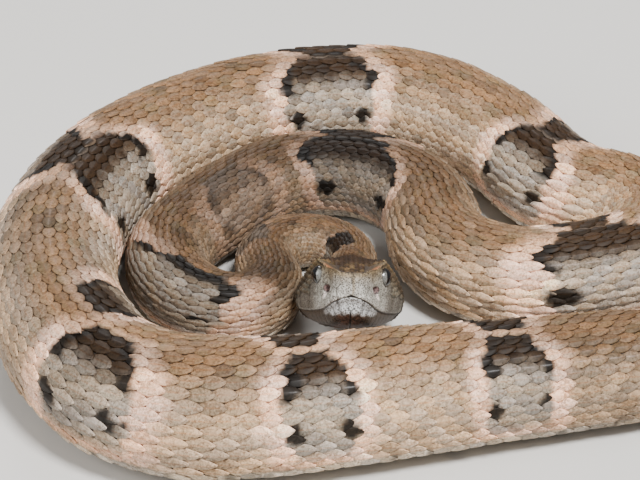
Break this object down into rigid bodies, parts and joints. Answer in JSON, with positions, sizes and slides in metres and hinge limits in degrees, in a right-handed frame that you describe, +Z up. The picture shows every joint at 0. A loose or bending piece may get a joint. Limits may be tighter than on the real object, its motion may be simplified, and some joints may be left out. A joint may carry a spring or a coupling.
{
  "type": "coiled lancehead viper",
  "caption": "Still life-size model of a coiled, banded pit viper at rest, its broad triangular head raised in the middle of its coils.",
  "frame": {"origin": "centre of the bounding box on the floor", "axes": "+Z up, the head faces -Y, +X to the snake's left"},
  "size_m": [0.2554, 0.2626, 0.0409],
  "materials": {
    "skin": "dry keeled scales",
    "jaw": "smooth dry scales",
    "eye": "glossy"
  },
  "bodies": {
    "root": {"eye_left": "eye", "eye_right": "eye", "head": "skin", "lower_jaw": "jaw", "neck": "skin", "tail": "skin", "tail_tip": "skin", "trunk_01": "skin", "trunk_02": "skin", "trunk_03": "skin", "trunk_04": "skin", "trunk_05": "skin", "trunk_06": "skin", "trunk_07": "skin", "trunk_08": "skin", "trunk_09": "skin", "trunk_10": "skin", "trunk_11": "skin", "trunk_12": "skin", "trunk_13": "skin", "trunk_14": "skin", "trunk_15": "skin", "trunk_16": "skin", "trunk_17": "skin", "trunk_18": "skin"}
  },
  "joints": []
}
